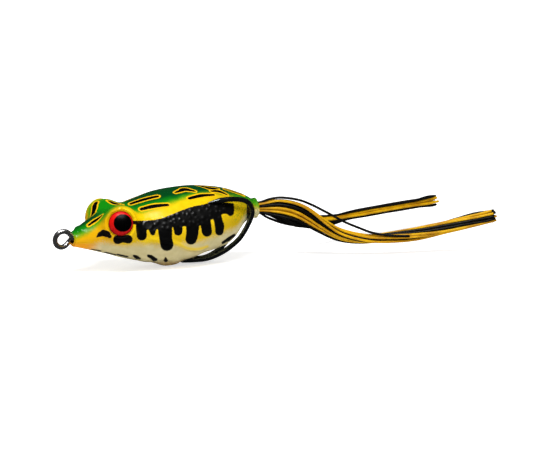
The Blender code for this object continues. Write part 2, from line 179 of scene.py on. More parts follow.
def capsules(points, coords):
    """Signed distance to joined round dabs: each point is its place and, last, its radius."""
    best = None
    for first, second in zip(points, points[1:]):
        start, end = np.array(first[:-1], float), np.array(second[:-1], float)
        t, gap = segment_gap(start, end, coords)
        gap = gap - (first[-1] + t * (second[-1] - first[-1]))
        best = gap if best is None else np.minimum(best, gap)
    return best


def line_distance(line, coords):
    return capsules([(x, y, 0.0) for x, y in line], coords)


def polygon_distance(coords, outline):
    """Signed distance to a closed outline, negative inside."""
    x, y = coords.T
    best = np.full(len(coords), 1e9)
    inside = np.zeros(len(coords), bool)
    for start, end in zip(outline, outline[1:] + outline[:1]):
        best = np.minimum(best, segment_gap(np.array(start), np.array(end), coords)[1])
        if start[1] != end[1]:
            crosses = (start[1] > y) != (end[1] > y)
            slant = (end[0] - start[0]) * (y - start[1]) / (end[1] - start[1])
            inside ^= crosses & (x < slant + start[0])
    return np.where(inside, -best, best)


# ---- the body's form ----
# station, top z, bottom z, half width, z of the widest place
BODY = (
    (3.7, 2.3, -2.75, 2.9, -0.3), (5.5, 3.5, -3.15, 3.7, -0.1), (8.0, 5.0, -3.8, 4.8, 0.3),
    (12.0, 7.2, -5.0, 6.6, 1.2), (16.0, 8.5, -6.1, 8.2, 1.8), (20.0, 9.6, -7.4, 9.6, 2.1),
    (25.0, 11.1, -8.7, 10.9, 2.2), (31.0, 12.8, -9.8, 11.9, 2.3), (38.0, 13.8, -10.4, 12.4, 2.4),
    (45.0, 14.0, -9.4, 12.1, 2.6), (50.0, 13.6, -8.0, 11.2, 2.9), (54.0, 13.0, -7.0, 10.1, 3.2),
    (57.2, 12.2, -6.05, 8.9, 3.5), (59.6, 11.5, -4.2, 7.8, 3.9), (61.6, 10.75, -1.5, 6.7, 4.2),
    (63.4, 10.0, 0.2, 5.5, 4.5), (65.5, 8.9, 1.3, 4.2, 4.7), (67.0, 8.0, 1.65, 3.25, 4.75),
    (68.4, 7.85, 1.65, 3.1, 4.75),
)
NOSE_X = BODY[0][0]
POWER_TOP, POWER_BOTTOM = 1.8, 2.05  # how square the section is above and below its widest place
PAD_DEPTH = 1.08
EYE_R, EYE_SEAT_R, BULGE_R = 4.0, 4.8, 6.2
EYE_CENTRE = np.array((16.2, 9.55, 5.5))
EYE_AXIS = np.array((-0.38, 0.88, 0.28)) / np.linalg.norm((-0.38, 0.88, 0.28))
BULGE_CENTRE = EYE_CENTRE - math.sqrt(BULGE_R**2 - EYE_SEAT_R**2) * EYE_AXIS
BULGE_SWELL, BULGE_BLEND = 0.15, 2.0
EYE_REACH = 9.0  # the eye's seat and colours stay within this distance
SEARCH_R, SEARCH_STEPS = 24.0, 30


def section(x):
    """Top, bottom, half width and widest height at each station."""
    return [hermite(x, BODY, column) for column in range(1, 5)]


def body_field(x, y, z, sizes):
    """Roughly the distance to the body's surface, negative inside."""
    top, bottom, half, widest = sizes
    side = np.abs(y)
    pad = (smoothstep(30.0, 36.2, x) * (1 - smoothstep(37.2, 42.5, x))
           * (1 - smoothstep(1.6, 5.6, side)))
    bottom = bottom - PAD_DEPTH * pad
    above = z >= widest
    height = np.where(above, top - widest, widest - bottom)
    power = np.where(above, POWER_TOP, POWER_BOTTOM)
    ratio = np.abs(y / half) ** power + np.abs((z - widest) / height) ** power
    base = (ratio ** (1 / power) - 1.0) * np.minimum(half, height)
    from_bulge = np.sqrt(
        (x - BULGE_CENTRE[0]) ** 2 + (side - BULGE_CENTRE[1]) ** 2 + (z - BULGE_CENTRE[2]) ** 2)
    field = smooth_min(base, from_bulge - BULGE_R - BULGE_SWELL, BULGE_BLEND)
    # the bulge is cut flat where the eye sits
    eye_x, eye_y, eye_z = x - EYE_CENTRE[0], side - EYE_CENTRE[1], z - EYE_CENTRE[2]
    seat = eye_x * EYE_AXIS[0] + eye_y * EYE_AXIS[1] + eye_z * EYE_AXIS[2]
    near = np.sqrt(eye_x * eye_x + eye_y * eye_y + eye_z * eye_z)
    return np.where(near < EYE_REACH, np.maximum(field, seat), field)


def surface_grid(stations, angles, inset):
    """Rings of points on the body, found along rays from each section's centre."""
    x, angle = (grid.ravel() for grid in np.meshgrid(stations, angles, indexing="ij"))
    sizes = section(x)
    centre = (sizes[0] + sizes[1]) / 2
    ray_y, ray_z = np.cos(angle), np.sin(angle)
    low, high = np.zeros_like(x), np.full_like(x, SEARCH_R)
    for _ in range(SEARCH_STEPS):
        reach = (low + high) / 2
        inside = body_field(x, reach * ray_y, centre + reach * ray_z, sizes) + inset < 0
        low, high = np.where(inside, reach, low), np.where(inside, high, reach)
    return np.stack((x, reach * ray_y, centre + reach * ray_z), -1).reshape(len(stations), -1, 3)


def mirror(points):
    return np.stack((points[:, 0], np.abs(points[:, 1]), points[:, 2]), -1)


def eye_coords(points):
    """Distance along the eye's axis, offset square to it, and that offset's length."""
    from_eye = mirror(points) - EYE_CENTRE
    along = from_eye @ EYE_AXIS
    offset = from_eye - along[:, None] * EYE_AXIS
    return along, offset, np.linalg.norm(offset, axis=1)


# ---- marks: drawn on a stencil plane that faces the left cheek, mirrored for the right side ----
AZIMUTH, ELEVATION = math.radians(-25), math.radians(11)
SIGHT_RIGHT = np.array((math.cos(AZIMUTH), math.sin(AZIMUTH), 0.0))
SIGHT_UP = np.array((
    -math.sin(AZIMUTH) * math.sin(ELEVATION),
    math.cos(AZIMUTH) * math.sin(ELEVATION),
    math.cos(ELEVATION),
))


def stencil(points):
    """Places on the stencil plane: right and up."""
    left = points.copy()
    left[:, 1] = -np.abs(left[:, 1])
    return np.stack((left @ SIGHT_RIGHT, left @ SIGHT_UP), -1)


# black band on the flank: its upper and lower edge (right, up)
BAND_TOP = (
    (22.4, 6.0), (26.3, 6.0), (29.9, 6.3), (32.6, 7.05), (35.3, 8.1), (38.5, 9.4),
    (41.7, 10.5), (44.4, 11.05), (47.1, 11.6), (51.2, 11.9), (55.2, 11.6),
)
BAND_LOW = (
    (22.4, 4.9), (23.6, 4.7), (25.4, 3.4), (27.3, 3.2), (30.7, 3.3), (35.1, 3.9),
    (38.9, 4.2), (43.7, 4.3), (47.8, 6.2), (51.2, 8.0), (53.0, 8.3), (55.2, 9.2),
)
BAND = [tuple(point) for point in smooth_curve(BAND_TOP, 3)]
BAND += [tuple(point) for point in reversed(smooth_curve(BAND_LOW, 3))]
# runs that hang from the band, from the top down (right, up, radius)
DRIPS = (
    ((25.3, 3.8, 1.75), (25.5, 1.2, 1.6)),
    ((28.9, 4.2, 1.85), (29.0, 2.0, 0.75)),
    ((32.9, 4.4, 2.35), (33.2, 0.0, 2.05), (33.6, -1.65, 2.1)),
    ((37.1, 4.8, 1.6), (37.2, 2.55, 1.35)),
    ((41.9, 4.6, 2.1), (41.8, 1.8, 1.95), (41.4, 0.15, 1.85)),
    ((46.0, 5.6, 1.75), (46.5, 2.5, 1.65)),
    ((49.8, 7.4, 1.35), (50.6, 4.2, 1.5), (50.5, 2.6, 1.35)),
    ((54.1, 10.0, 1.15), (54.1, 8.6, 1.1)),
)
DRIP_BLEND = 0.35
# single marks (right, up, radius)
CRESCENT = (
    (10.95, 0.75, 0.2), (11.9, 1.55, 0.75), (13.1, 2.05, 1.05), (14.3, 1.65, 1.05),
    (15.1, 0.95, 0.65),
)
BLOTCH = ((17.7, -0.1, 1.45), (19.3, 0.2, 1.15), (21.1, -0.0, 1.4))
REAR_BAR = ((51.6, -1.1, 0.42), (53.4, 0.0, 0.6), (55.3, 1.35, 0.45))
# TAIL_BAR is a black bar where the body narrows into the tail tube
TAIL_BAR = ((60.1, 7.0, 0.7), (60.1, 11.2, 0.8))
# stripes along the back, on both sides (x, sideways, z, radius)
STRIPES = (
    ((23.2, 2.4, 10.3, 0.62), (27.6, 3.0, 11.4, 0.78), (31.8, 3.9, 12.2, 0.62)),
    ((25.0, 6.35, 9.0, 0.62), (28.8, 7.1, 9.7, 0.74), (33.6, 8.05, 10.0, 0.50)),
    ((38.2, 4.0, 12.9, 0.35), (40.2, 3.5, 13.4, 0.75), (41.8, 2.9, 13.6, 1.05),
     (43.2, 3.6, 13.3, 0.75), (44.9, 4.6, 13.0, 0.32)),
    ((41.6, 7.3, 11.3, 0.52), (46.3, 6.5, 11.8, 0.66), (51.0, 5.9, 11.5, 0.40)),
    ((50.8, 4.3, 12.5, 0.30), (53.6, 3.9, 12.1, 0.72), (56.3, 4.7, 10.9, 0.30)),
    ((47.9, 0.2, 13.9, 0.5), (50.2, 1.9, 13.4, 0.85), (51.6, 2.4, 13.1, 0.9),
     (54.0, 2.3, 12.7, 0.4)),
    ((56.8, 1.6, 12.2, 0.2), (60.0, 1.9, 11.0, 0.38), (63.6, 1.9, 9.7, 0.2)),
    ((12.5, 2.8, 7.2, 0.45), (10.3, 2.5, 5.9, 0.62), (8.2, 2.3, 4.5, 0.40)),
    ((18.2, 4.5, 10.0, 0.50), (19.4, 2.8, 9.8, 0.85), (20.4, 1.0, 9.7, 0.45)),
)
# this stripe is on the right side only, over the eye bulge (x, y, z, radius)
RIGHT_STRIPE = (
    (14.4, 5.6, 9.8, 0.75), (13.5, 4.7, 8.9, 0.85), (12.8, 3.8, 7.9, 0.8), (11.6, 3.1, 6.8, 0.6),
)
# spots under the belly, on both sides (x, sideways, z, radius)
BELLY = (
    ((9.2, 2.6, -3.7, 0.5), (11.7, 3.0, -4.3, 0.6)),
    ((13.9, 3.0, -5.0, 0.7), (16.8, 3.2, -5.9, 0.75)),
    ((17.9, 4.2, -6.0, 0.75), (20.6, 4.4, -6.6, 0.75)),
)
# spots round the keel pad (right, up, radius)
PAD_SPOTS = (
    ((23.0, -5.35, 0.40), (23.9, -5.8, 0.60), (24.9, -6.2, 0.30)),
    ((27.6, -5.35, 0.45), (28.5, -5.65, 0.60), (29.4, -6.4, 0.72), (30.1, -6.5, 0.45)),
    ((33.2, -5.95, 0.25), (33.2, -6.65, 0.72)),
)
# the keel pad's edge, and the moulded fold of the hind leg (right, up)
KEEL_EDGE = (
    (24.5, -5.9), (26.5, -5.2), (28.5, -4.85), (31.0, -4.7), (33.0, -4.75), (35.3, -5.35),
    (37.8, -6.2),
)
FOLD = smooth_curve((
    (27.0, -0.6), (28.9, 0.0), (31.0, -0.1), (34.6, -0.6), (37.6, -1.7), (40.0, -2.8),
    (42.2, -3.2), (44.5, -3.0), (46.6, -2.3),
), 3)
FAR = 9.0  # a distance that leaves no mark
STENCIL_LOW_Z, PAD_SPOT_Y = -6.0, 2.2


def black_marks(points):
    flat, mirrored = stencil(points), mirror(points)
    gap = polygon_distance(flat, BAND)
    for drip in DRIPS:
        gap = smooth_min(gap, capsules(drip, flat), DRIP_BLEND)
    for mark in (CRESCENT, BLOTCH, REAR_BAR, TAIL_BAR):
        gap = np.minimum(gap, capsules(mark, flat))
    # the marks so far don't reach the underside
    gap = np.where(points[:, 2] < STENCIL_LOW_Z, FAR, gap)
    for spot in BELLY:
        gap = np.minimum(gap, capsules(spot, mirrored))
    for spot in PAD_SPOTS:
        beside = mirrored[:, 1] > PAD_SPOT_Y
        gap = np.minimum(gap, np.where(beside, capsules(spot, flat), FAR))
    return gap


def back_stripes(points):
    mirrored = mirror(points)
    found = [capsules(smooth_curve(stripe, 4), mirrored) for stripe in STRIPES]
    found.append(capsules(smooth_curve(RIGHT_STRIPE, 4), points))
    return np.min(found, axis=0)


# ---- painted zones: station, and the border's angle above the section's centre in degrees ----
GREEN_BORDER = (
    (3.7, 15), (6.5, 20), (8.9, 31), (11.4, 40), (14.0, 49), (19.3, 52), (23.8, 42), (27.3, 42),
    (32.5, 45), (38.3, 51), (44.1, 56), (51.9, 60), (58.0, 54), (63.0, 30), (69.2, 8),
)
DARK_BORDER = (
    (3.7, 84), (8.0, 66), (14.0, 66), (21.6, 62), (29.4, 60), (36.4, 59), (43.8, 62),
    (50.9, 62), (59.8, 60), (69.2, 84),
)
CREAM_BORDER = (
    (3.7, -62), (6.4, -44), (10.5, -22), (16.7, -22), (24.7, -17), (31.6, -21), (38.3, -20),
    (45.7, -22), (53.1, -19), (58.5, -16), (63.0, -4), (69.2, 6),
)


def paint_fields(points):
    """Values that steer the skin's colours; the zone fields are distances past their borders."""
    x, z = np.clip(points[:, 0], GREEN_BORDER[0][0], GREEN_BORDER[-1][0]), points[:, 2]
    sizes = section(x)
    centre = (sizes[0] + sizes[1]) / 2
    angle = np.degrees(np.arctan2(z - centre, np.abs(points[:, 1])))
    per_degree = np.hypot(points[:, 1], z - centre) * math.pi / 180
    green = (angle - hermite(x, GREEN_BORDER)) * per_degree
    dark = (angle - hermite(x, DARK_BORDER)) * per_degree
    cream = (hermite(x, CREAM_BORDER) - angle) * per_degree
    # green stays off the eye and its surround, dark green off a wider disc
    along, _, across = eye_coords(points)
    ring = np.hypot(across - 4.6, np.maximum(np.abs(along) - 0.6, 0.0))
    surround = across - 4.75 + np.maximum(-along - 0.4, 0.0) * 1.3
    green = np.minimum(green, np.where(across < EYE_REACH, surround, FAR))
    dark = np.minimum(dark, across - 7.5)
    flat = stencil(points)
    fold = np.where(z < -7.5, FAR, line_distance(FOLD, flat))
    fold_width = np.interp(flat[:, 0], (28.0, 38.0, 46.0), (1.15, 0.80, 0.48))
    # orange under the chin, and faintly along the belly
    chin = (
        (1 - smoothstep(5.0, 13.5, x)) * smoothstep(-0.5, -2.2, z)
        + 0.35 * smoothstep(-7.5, -10.5, z) * (1 - smoothstep(20, 30, np.abs(x - 24.0)))
    )
    return {
        "paint_green": green,
        "paint_dark": dark,
        "paint_cream": cream,
        "paint_black": black_marks(points),
        "paint_stripe": back_stripes(points),
        "paint_fold": ridge(fold, fold_width),
        "paint_chin": np.clip(chin, 0.0, 1.0),
        "paint_lid": ridge(ring, width=1.0),
    }


# ---- relief: what is moulded into the soft skin ----
EAR = (27.5, 4.6)  # on the stencil plane
NOSTRIL = np.array((5.6, 1.75, 2.75))
NOSTRIL_PIT = np.array((4.95, 1.75, 2.35))


def scatter_warts():
    """Warts on the black band: right, up, radius, height."""
    random = np.random.RandomState(7)
    warts = []
    for _ in range(230):
        right = random.uniform(27.0, 52.5)
        top, low = line_height(BAND_TOP, right), line_height(BAND_LOW, right)
        up = random.uniform(low - 1.0, top - 0.4)
        size = random.uniform(0.65, 1.15)
        clear = all(
            math.hypot(right - wart[0], up - wart[1]) > (size + wart[2]) * 0.62 for wart in warts)
        if clear and math.hypot(right - EAR[0], up - EAR[1]) > 2.2:
            warts.append((right, up, size, random.uniform(0.18, 0.32)))
    return warts


WARTS = scatter_warts()


def relief(points):
    """Height of the moulded detail above the body's plain surface."""
    flat = stencil(points)
    right, up = flat.T
    lift = np.zeros(len(points))
    for wart_right, wart_up, size, height in WARTS:
        gap = np.hypot(right - wart_right, up - wart_up)
        lift = np.maximum(lift, height * hill(gap, size))
    # the ear drum: a round plate with a raised rim
    ear = np.hypot(right - EAR[0], up - EAR[1])
    lift += 0.16 * smoothstep(1.9, 1.45, ear) + 0.13 * ridge(ear - 1.35, width=0.28)
    # the fold along the top of the black band
    crest = line_distance(BAND_TOP, flat)
    lift += 0.16 * ridge(crest, width=0.9) * smoothstep(24.0, 28.0, right)
    # the hind leg: a crest, a groove below it and a swelling above
    above = up - line_height(FOLD, right)
    inside = smoothstep(26.0, 29.0, right) * (1 - smoothstep(45.0, 48.0, right))
    lift += 0.50 * ridge(line_distance(FOLD, flat), width=0.72) * inside
    lift -= 0.34 * ridge(above + 1.25, width=0.7) * inside
    lift += 0.28 * ridge(above - 1.9, width=1.6) * inside
    # eyelids: a rim round each eye seat, highest above it
    along, offset, across = eye_coords(points)
    upward = offset[:, 2] / np.maximum(across, 0.1)
    rim = ridge(across - 4.75, width=0.42) * smoothstep(2.5, 1.0, np.abs(along))
    lift += rim * (0.05 + 0.62 * smoothstep(-0.6, 0.8, upward))
    # nostrils: two small swellings on the nose, each with a pit
    nostril = np.linalg.norm(mirror(points) - NOSTRIL, axis=1)
    pit = np.linalg.norm(mirror(points) - NOSTRIL_PIT, axis=1)
    lift += 0.42 * ridge(nostril, width=1.0) - 0.35 * ridge(pit, width=0.38)
    # the ledge where the keel pad leaves the belly
    below = line_height(KEEL_EDGE, right) - up
    along_pad = (smoothstep(23.5, 27.5, right) * (1 - smoothstep(36.5, 38.6, right))
                 * (points[:, 2] < -2.0))
    lift += 0.36 * along_pad * smoothstep(0.0, 0.5, below) * (1 - smoothstep(0.9, 3.4, below))
    # shallow broad unevenness of a soft moulding
    lift += (0.05 * np.sin(points[:, 0] * 0.55 + 1.3)
             * np.cos(points[:, 2] * 0.5 + points[:, 1] * 0.21))
    # the tail tube is plain
    lift *= 1 - smoothstep(63.5, 65.5, points[:, 0])
    return lift


# ---- mesh helpers ----
def add_object(name, mesh):
    obj = bpy.data.objects.new(name, mesh)
    bpy.context.scene.collection.objects.link(obj)
    return obj


def store(mesh, name, values):
    attribute = mesh.attributes.new(name, "FLOAT", "POINT")
    attribute.data.foreach_set("value", np.asarray(values, np.float32))


def bridge(shape, first, second):
    """A band of quads between two closed rings."""
    for k in range(len(first)):
        j = (k + 1) % len(first)
        shape.faces.new((first[k], first[j], second[j], second[k]))


def to_mesh(shape, name):
    mesh = bpy.data.meshes.new(name)
    shape.to_mesh(mesh)
    shape.free()
    return mesh


def shade(mesh, sharp_degrees):
    mesh.shade_smooth()
    mesh.set_sharp_from_angle(angle=math.radians(sharp_degrees))


def add_boolean(obj, name, operation, other):
    modifier = obj.modifiers.new(name, "BOOLEAN")
    modifier.operation = operation
    modifier.object = other
    modifier.solver = "EXACT"


def apply_booleans(obj, others):
    """Bake the modifiers into the mesh and drop the objects they used."""
    bpy.context.view_layer.update()
    evaluated = obj.evaluated_get(bpy.context.evaluated_depsgraph_get())
    mesh = bpy.data.meshes.new_from_object(evaluated)
    obj.modifiers.clear()
    obj.data = mesh
    for other in others:
        bpy.data.objects.remove(other, do_unlink=True)
    return mesh


def register(obj, rides_on, node):
    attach(obj, rides_on)
    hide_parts(node)


# ---- body mesh ----
RINGS, AROUND = 236, 216
FRONT_RINGS, FRONT_END = 85, 24.0  # rings stand closer in front of this station
INNER_SHARE = 3  # outer points to one inner point, round a ring
CAP_RINGS, CAP_DEPTH = 6, 0.50
HOLE_HALF_Y, HOLE_HALF_Z = 1.86, 1.62  # the oval hole in the nose
LIP_START = TAIL_X - 1.3
LIP_INSET, LIP_OUT = 0.22, 0.16
SLOT_LOW, SLOT_HIGH, SLOT_CORNER = (39.0, -2.3, -14.0), (49.5, 2.3, -5.0), 1.7


def outward_normals(grid):
    along = np.gradient(grid, axis=0)
    around = (np.roll(grid, -1, axis=1) - np.roll(grid, 1, axis=1)) / 2
    normal = np.cross(around, along)
    normal /= np.maximum(np.linalg.norm(normal, axis=2, keepdims=True), 1e-9)
    return normal


def push_from_tube(points, amount):
    """Move points away from the tail tube's axis."""
    radial = points - np.array((0.0, 0.0, TUBE_Z))
    radial[..., 0] = 0
    length = np.maximum(np.linalg.norm(radial, axis=-1, keepdims=True), 1e-6)
    return points + radial / length * np.asarray(amount)[..., None]


def outer_skin(angles):
    front = np.linspace(NOSE_X, FRONT_END, FRONT_RINGS + 1)[:-1]
    stations = np.concatenate((front, np.linspace(FRONT_END, TAIL_X, RINGS - FRONT_RINGS)))
    outer = surface_grid(stations, angles, 0.0)
    lift = relief(outer.reshape(-1, 3)).reshape(outer.shape[:2])
    outer = outer + outward_normals(outer) * lift[:, :, None]
    # the tail tube ends in a thin flared lip
    outer = push_from_tube(outer, 0.24 * smoothstep(LIP_START, TAIL_X, outer[:, :, 0]))
    # the flat under the pad
    z = outer[:, :, 2]
    outer[:, :, 2] = np.where(z < FLAT_Z + 0.25, np.maximum(z, FLAT_Z + 0.012), z)
    return outer


def nose_cap(first_ring, angles):
    """Rings that close in from the first ring to the hole round the wire, innermost first."""
    hole = np.stack((np.zeros(len(angles)), HOLE_HALF_Y * np.cos(angles),
                     HOLE_HALF_Z * np.sin(angles)), -1)
    cap = []
    for k in range(CAP_RINGS, 0, -1):
        angle = k / CAP_RINGS * math.pi / 2
        closing = 1 - math.cos(angle)
        ring = first_ring * (1 - closing) + hole * closing
        ring[:, 0] = NOSE_X - CAP_DEPTH * math.sin(angle)
        cap.append(ring)
    return cap


def inner_skin(angles):
    stations = np.concatenate((
        (3.75, 4.6, 5.6), np.linspace(7.0, 65.6, 64), (66.6, 67.6, TAIL_X - 0.05)))
    wall = (0.45 + 0.60 * smoothstep(4.0, 12.0, stations)
            - 0.52 * smoothstep(63.0, 66.5, stations))
    inner = surface_grid(stations, angles, np.repeat(wall, len(angles)))
    return push_from_tube(inner, 0.20 * smoothstep(LIP_START, TAIL_X, inner[:, :, 0]))


def slot_cutter():
    """A block with rounded upright edges that cuts the belly slot behind the pad."""
    shape = bmesh.new()
    bmesh.ops.create_cube(shape, size=1.0)
    low, high = world(*SLOT_LOW), world(*SLOT_HIGH)
    for vert in shape.verts:
        vert.co = Vector([(c + 0.5) * (b - a) + a for c, a, b in zip(vert.co, low, high)])
    upright = [
        edge for edge in shape.edges
        if abs(edge.verts[0].co.z - edge.verts[1].co.z) > 0.001
    ]
    bmesh.ops.bevel(shape, geom=upright, offset=SLOT_CORNER * MILLI, segments=6, profile=0.5,
                    affect="EDGES")
    return add_object("slot_cutter", to_mesh(shape, "slot_cutter"))


def build_body():
    angles = np.linspace(0.0, 2 * math.pi, AROUND, endpoint=False)
    outer = outer_skin(angles)
    # a rounded edge on the lip
    lip = push_from_tube(outer[-1], -LIP_INSET)
    lip[:, 0] += LIP_OUT
    shape = bmesh.new()

    def loops(rings):
        return [[shape.verts.new(tuple(world_array(point))) for point in ring] for ring in rings]

    outside = loops([*nose_cap(outer[0], angles), *outer, lip])
    for first, second in zip(outside, outside[1:]):
        bridge(shape, first, second)
    inside = loops(inner_skin(angles[::INNER_SHARE]))
    for first, second in zip(inside, inside[1:]):
        bridge(shape, second, first)
    # join the skins at the nose and at the lip
    for many, few in ((outside[0], inside[0]), (outside[-1], inside[-1])):
        for k in range(len(few)):
            j = (k + 1) % len(few)
            start = INNER_SHARE * k
            shape.faces.new((many[start], many[start + 1], few[k]))
            shape.faces.new((many[start + 1], many[start + 2], few[j], few[k]))
            shape.faces.new((many[start + 2], many[(start + 3) % AROUND], few[j]))
    bmesh.ops.recalc_face_normals(shape, faces=shape.faces)
    obj = add_object("frog_body", to_mesh(shape, "frog_body"))
    cutter = slot_cutter()
    add_boolean(obj, "slot", "DIFFERENCE", cutter)
    mesh = apply_booleans(obj, [cutter])
    shade(mesh, 48)
    places = np.zeros(len(mesh.vertices) * 3)
    mesh.vertices.foreach_get("co", places)
    stations = (places.reshape(-1, 3) - np.array(ORIGIN)) / MILLI
    for name, values in paint_fields(stations).items():
        store(mesh, name, values)
    return obj


# ---- materials, all from nodes ----
class Shader:
    def __init__(self, name):
        self.mat = bpy.data.materials.new(name)
        self.mat.use_nodes = True
        self.tree = self.mat.node_tree
        self.bsdf = self.tree.nodes["Principled BSDF"]
        self.coords = self.node("TexCoord").outputs["Object"]

    def node(self, kind):
        return self.tree.nodes.new("ShaderNode" + kind)

    def link(self, value, socket):
        """Feed a socket from another socket, an RGB colour or a number."""
        if isinstance(value, bpy.types.NodeSocket):
            self.tree.links.new(value, socket)
        elif isinstance(value, tuple):
            socket.default_value = (*value, 1.0)
        else:
            socket.default_value = value

    def set(self, **inputs):
        for name, value in inputs.items():
            self.link(value, self.bsdf.inputs[name.replace("_", " ")])

    def attribute(self, name):
        node = self.node("Attribute")
        node.attribute_name = name
        return node.outputs["Fac"]

    def position(self):
        node = self.node("SeparateXYZ")
        self.link(self.coords, node.inputs[0])
        return node.outputs

    def math(self, operation, first, second, third=0.0):
        node = self.node("Math")
        node.operation = operation
        for value, socket in zip((first, second, third), node.inputs):
            self.link(value, socket)
        return node.outputs[0]

    def product(self, first, second):
        return self.math("MULTIPLY", first, second)

    def scaled(self, value, times, plus):
        return self.math("MULTIPLY_ADD", value, times, plus)

    def step(self, value, low, high, to_low=0.0, to_high=1.0):
        """Smooth step of a value between two levels."""
        node = self.node("MapRange")
        node.interpolation_type = "SMOOTHSTEP"
        names = ("Value", "From Min", "From Max", "To Min", "To Max")
        for name, setting in zip(names, (value, low, high, to_low, to_high)):
            self.link(setting, node.inputs[name])
        return node.outputs[0]

    def noise(self, scale, detail, rough, stretch=None):
        node = self.node("TexNoise")
        node.inputs["Scale"].default_value = scale
        node.inputs["Detail"].default_value = detail
        node.inputs["Roughness"].default_value = rough
        self.link(self.stretched(stretch), node.inputs["Vector"])
        return node.outputs["Fac"]

    def centred_noise(self, scale, detail, rough):
        return self.math("SUBTRACT", self.noise(scale, detail, rough), 0.5)

    def voronoi(self, scale):
        node = self.node("TexVoronoi")
        node.inputs["Scale"].default_value = scale
        self.link(self.coords, node.inputs["Vector"])
        return node.outputs["Distance"]

    def stretched(self, stretch):
        if stretch is None:
            return self.coords
        node = self.node("Mapping")
        node.inputs["Scale"].default_value = stretch
        self.link(self.coords, node.inputs["Vector"])
        return node.outputs[0]

    def mix(self, share, base, over):
        node = self.node("Mix")
        node.data_type = "RGBA"
        for i, value in ((0, share), (6, base), (7, over)):
            self.link(value, node.inputs[i])
        return node.outputs[2]

    def bump(self, height, strength, distance, normal=None):
        node = self.node("Bump")
        node.inputs["Strength"].default_value = strength
        node.inputs["Distance"].default_value = distance
        self.link(height, node.inputs["Height"])
        if normal is not None:
            self.link(normal, node.inputs["Normal"])
        return node.outputs[0]


def body_material():
    skin = Shader("painted_skin")
    mix, step, scaled = skin.mix, skin.step, skin.scaled
    cloud = skin.centred_noise(scale=420, detail=2, rough=0.5)
    speck = skin.centred_noise(scale=2300, detail=3, rough=0.7)
    fine = skin.centred_noise(scale=5200, detail=2, rough=0.6)
    green, dark, cream, black, stripe, fold, chin = (
        skin.attribute("paint_" + name)
        for name in ("green", "dark", "cream", "black", "stripe", "fold", "chin"))
    place = skin.position()
    # cream belly, sprayed yellow above it with a speckled edge
    patches = step(cloud, low=-0.3, high=0.3)
    belly = mix(patches, base=(0.60, 0.52, 0.27), over=(0.68, 0.60, 0.33))
    edge = scaled(speck, times=3.6, plus=cream)
    edge = scaled(cloud, times=1.0, plus=edge)
    patches = step(cloud, low=-0.3, high=0.3)
    yellow = mix(patches, base=(0.86, 0.54, 0.0012), over=(0.92, 0.63, 0.003))
    # painted shade: the yellow turns a darker gold low on the flank, towards the cream belly
    low_flank_shade = step(cream, low=-7.5, high=-2.0, to_high=0.75)
    yellow = mix(low_flank_shade, base=yellow, over=(0.66, 0.42, 0.001))
    front = step(place[0], low=ORIGIN.x + 0.019, high=ORIGIN.x + 0.010, to_high=0.7)
    yellow = mix(front, base=yellow, over=(0.80, 0.38, 0.0008))
    # painted shade: the yellow is painted darker towards the rear of the body
    back = step(place[0], low=ORIGIN.x + 0.046, high=ORIGIN.x + 0.057, to_high=0.7)
    yellow = mix(back, base=yellow, over=(0.58, 0.38, 0.001))
    colour = mix(step(edge, low=-1.7, high=1.5), base=yellow, over=belly)
    # the fold's crest catches the yellow spray
    colour = mix(skin.product(fold, 0.85), base=colour, over=(0.84, 0.58, 0.006))
    colour = mix(step(chin, low=0.05, high=0.95), base=colour, over=(0.90, 0.36, 0.012))
    # green from above: first a bright green, then dark along the back
    rise = scaled(speck, times=0.9, plus=green)
    rise = scaled(cloud, times=1.3, plus=rise)
    leaf = mix(step(rise, low=0.3, high=2.2), base=(0.12, 0.36, 0.003), over=(0.005, 0.24, 0.004))
    colour = mix(step(rise, low=-1.2, high=1.1), base=colour, over=leaf)
    deep = scaled(cloud, times=1.5, plus=dark)
    colour = mix(step(deep, low=-1.4, high=1.8), base=colour, over=(0.000, 0.058, 0.009))
    # olive specks, high on the rear of the body
    rear = step(place[0], low=0.0165, high=0.0225)
    upper = step(place[2], low=0.0115, high=0.0155)
    specks = skin.product(skin.product(rear, upper), step(speck, low=0.0, high=0.12))
    colour = mix(skin.product(specks, 0.85), base=colour, over=(0.12, 0.24, 0.003))
    # warm yellow round the stripes, then their black
    rim = scaled(speck, times=0.35, plus=stripe)
    colour = mix(step(rim, low=0.60, high=0.42), base=colour, over=(0.92, 0.53, 0.004))
    core = step(scaled(speck, times=0.25, plus=stripe), low=0.08, high=-0.04)
    colour = mix(core, base=colour, over=(0.0006, 0.0006, 0.0005))
    # the black marks of the flank and belly
    ink = step(scaled(speck, times=0.45, plus=black), low=0.10, high=-0.08)
    colour = mix(ink, base=colour, over=(0.0005, 0.0005, 0.0004))
    # light grime
    grime = step(fine, low=0.16, high=0.30, to_high=0.06)
    colour = mix(grime, base=colour, over=(0.08, 0.06, 0.01))
    rough = scaled(cloud, times=0.12, plus=0.24)
    rough = scaled(speck, times=0.10, plus=rough)
    rough = scaled(ink, times=0.12, plus=rough)
    grain = skin.noise(scale=2600, detail=3, rough=0.6)
    grain = skin.bump(grain, strength=0.04, distance=0.00012)
    pebble = skin.bump(skin.voronoi(scale=900), strength=0.07, distance=0.00018, normal=grain)
    skin.set(
        Base_Color=colour, Roughness=rough,
        Specular_IOR_Level=step(ink, low=0.2, high=0.8, to_low=0.18, to_high=0.62),
        Coat_Weight=0.04, Coat_Roughness=0.12, Normal=pebble)
    return skin.mat


